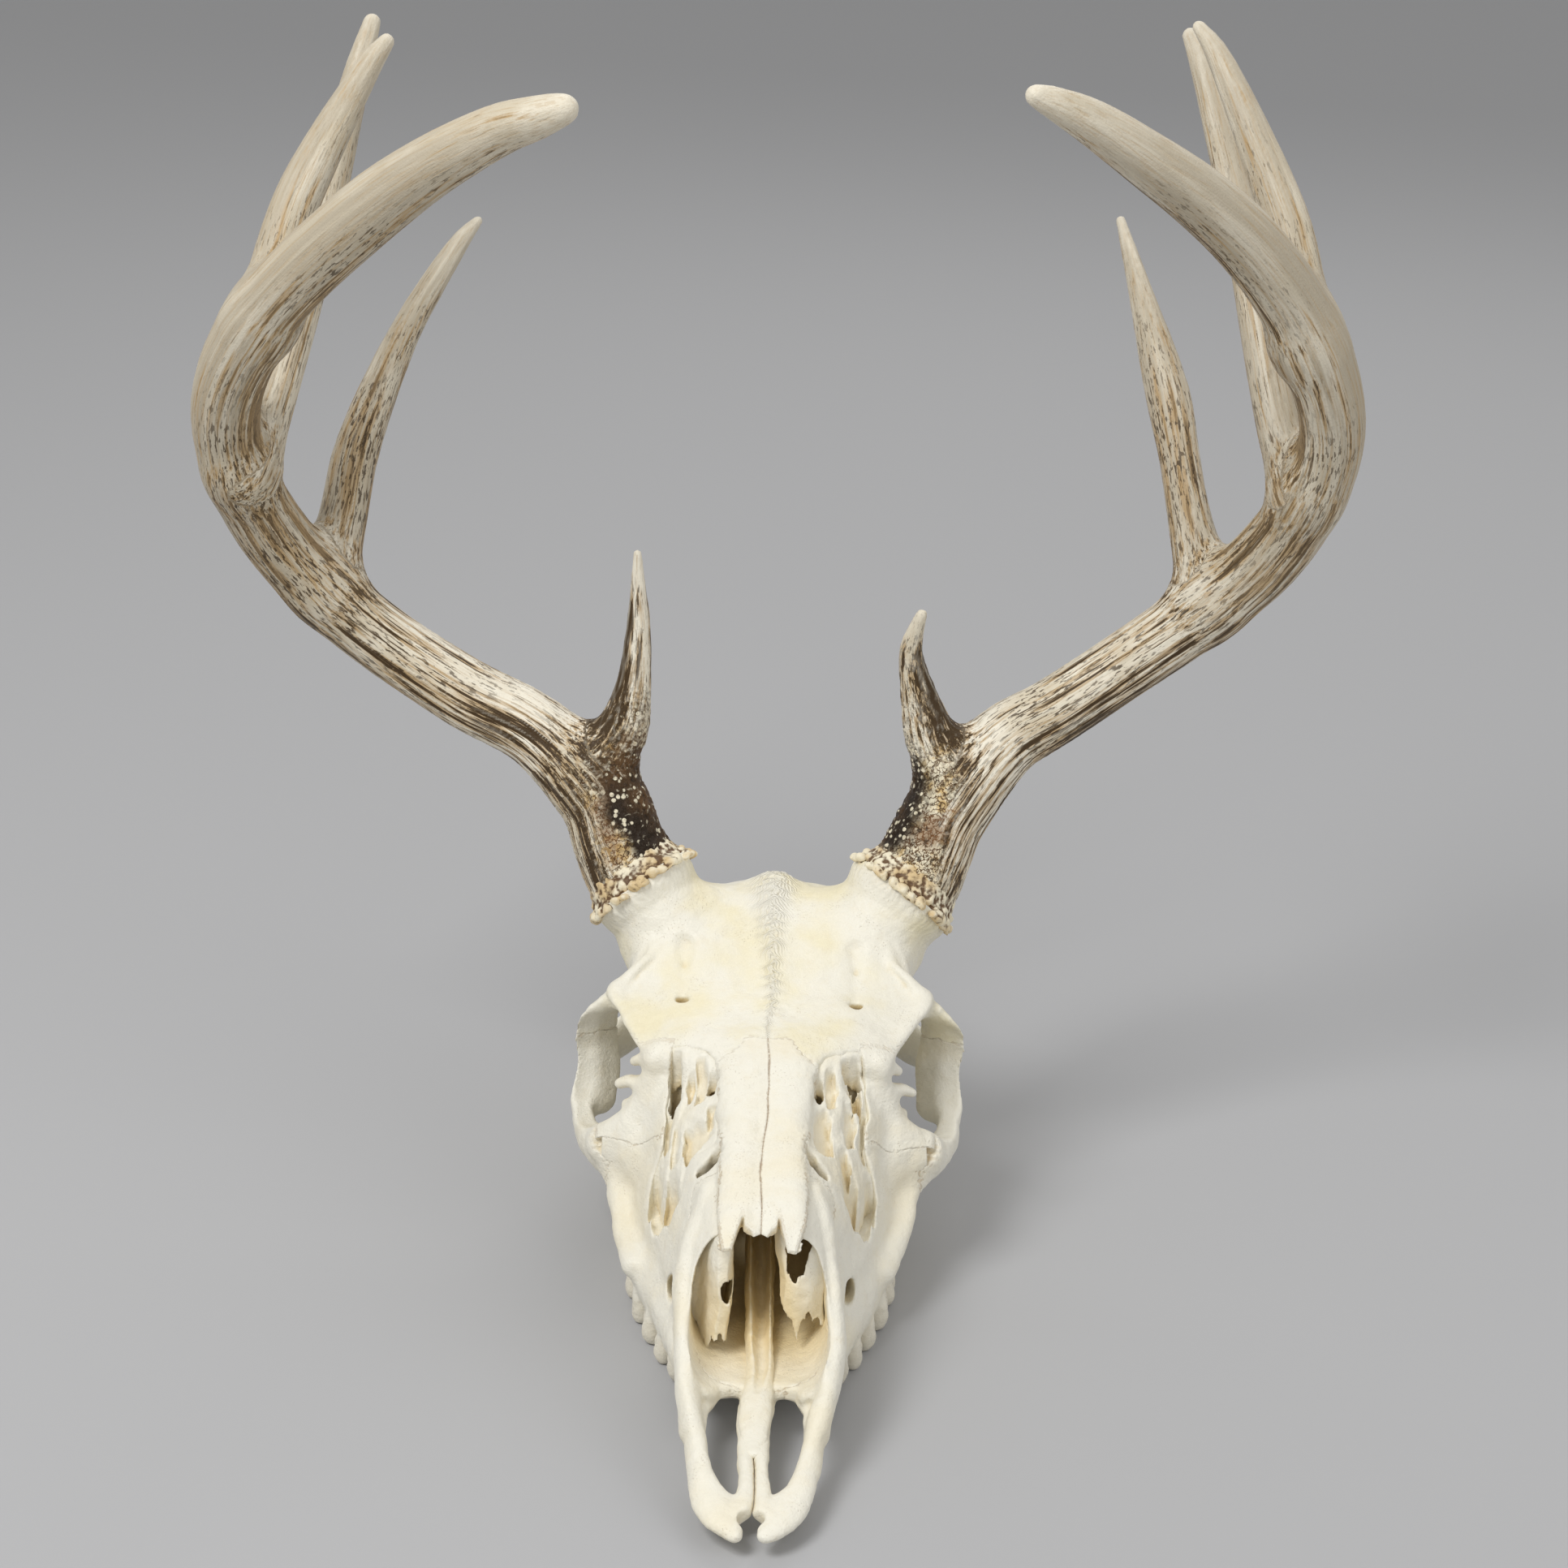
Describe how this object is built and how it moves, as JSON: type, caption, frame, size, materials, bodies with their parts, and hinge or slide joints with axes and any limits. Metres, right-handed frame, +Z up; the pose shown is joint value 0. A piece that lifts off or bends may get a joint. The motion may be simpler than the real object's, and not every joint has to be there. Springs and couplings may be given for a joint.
{
  "type": "white-tailed deer skull with antlers",
  "caption": "Upper skull of a white-tailed deer buck, without its lower jaw: bleached bone with a pair of branching antlers, lying upright on its cheek teeth and the processes behind them.",
  "frame": {"origin": "on the surface the skull rests on, below the middle of the bounding box", "axes": "+Z up, the nose points along -Y, +X is the animal's left"},
  "size_m": [0.3584, 0.3589, 0.3746],
  "materials": {
    "bleached_bone": "matte, creamy white, fine pores",
    "ivory_bone": "satin, slightly yellow ivory",
    "bone_and_enamel": "matte bone, with glossier teeth",
    "nasal_bone_inside": "matte, warm tan",
    "antler_base": "rough, dark brown with pale pearls",
    "antler_middle": "satin, grooved, streaked brown and cream",
    "antler_tip": "smooth satin, grey ivory"
  },
  "bodies": {
    "root": {"nasal_right": "bleached_bone", "nasal_left": "bleached_bone", "premaxilla_right": "bleached_bone", "premaxilla_left": "bleached_bone", "lacrimal_right": "bleached_bone", "lacrimal_left": "bleached_bone", "zygomatic_right": "bleached_bone", "zygomatic_left": "bleached_bone", "frontal_right": "ivory_bone", "frontal_left": "ivory_bone", "maxilla_right": "bone_and_enamel", "maxilla_left": "bone_and_enamel", "braincase": "bleached_bone", "vomer": "nasal_bone_inside", "turbinate_right": "nasal_bone_inside", "turbinate_left": "nasal_bone_inside", "antler_right_base": "antler_base", "antler_right_brow_tine": "antler_base", "antler_right_beam_lower": "antler_middle", "antler_right_second_tine": "antler_middle", "antler_right_beam_middle": "antler_middle", "antler_right_third_tine": "antler_tip", "antler_right_beam_upper": "antler_tip", "antler_right_fourth_tine": "antler_tip", "antler_right_beam_tip": "antler_tip", "antler_left_base": "antler_base", "antler_left_brow_tine": "antler_base", "antler_left_beam_lower": "antler_middle", "antler_left_second_tine": "antler_middle", "antler_left_beam_middle": "antler_middle", "antler_left_third_tine": "antler_tip", "antler_left_beam_upper": "antler_tip", "antler_left_fourth_tine": "antler_tip", "antler_left_beam_tip": "antler_tip"}
  },
  "joints": []
}
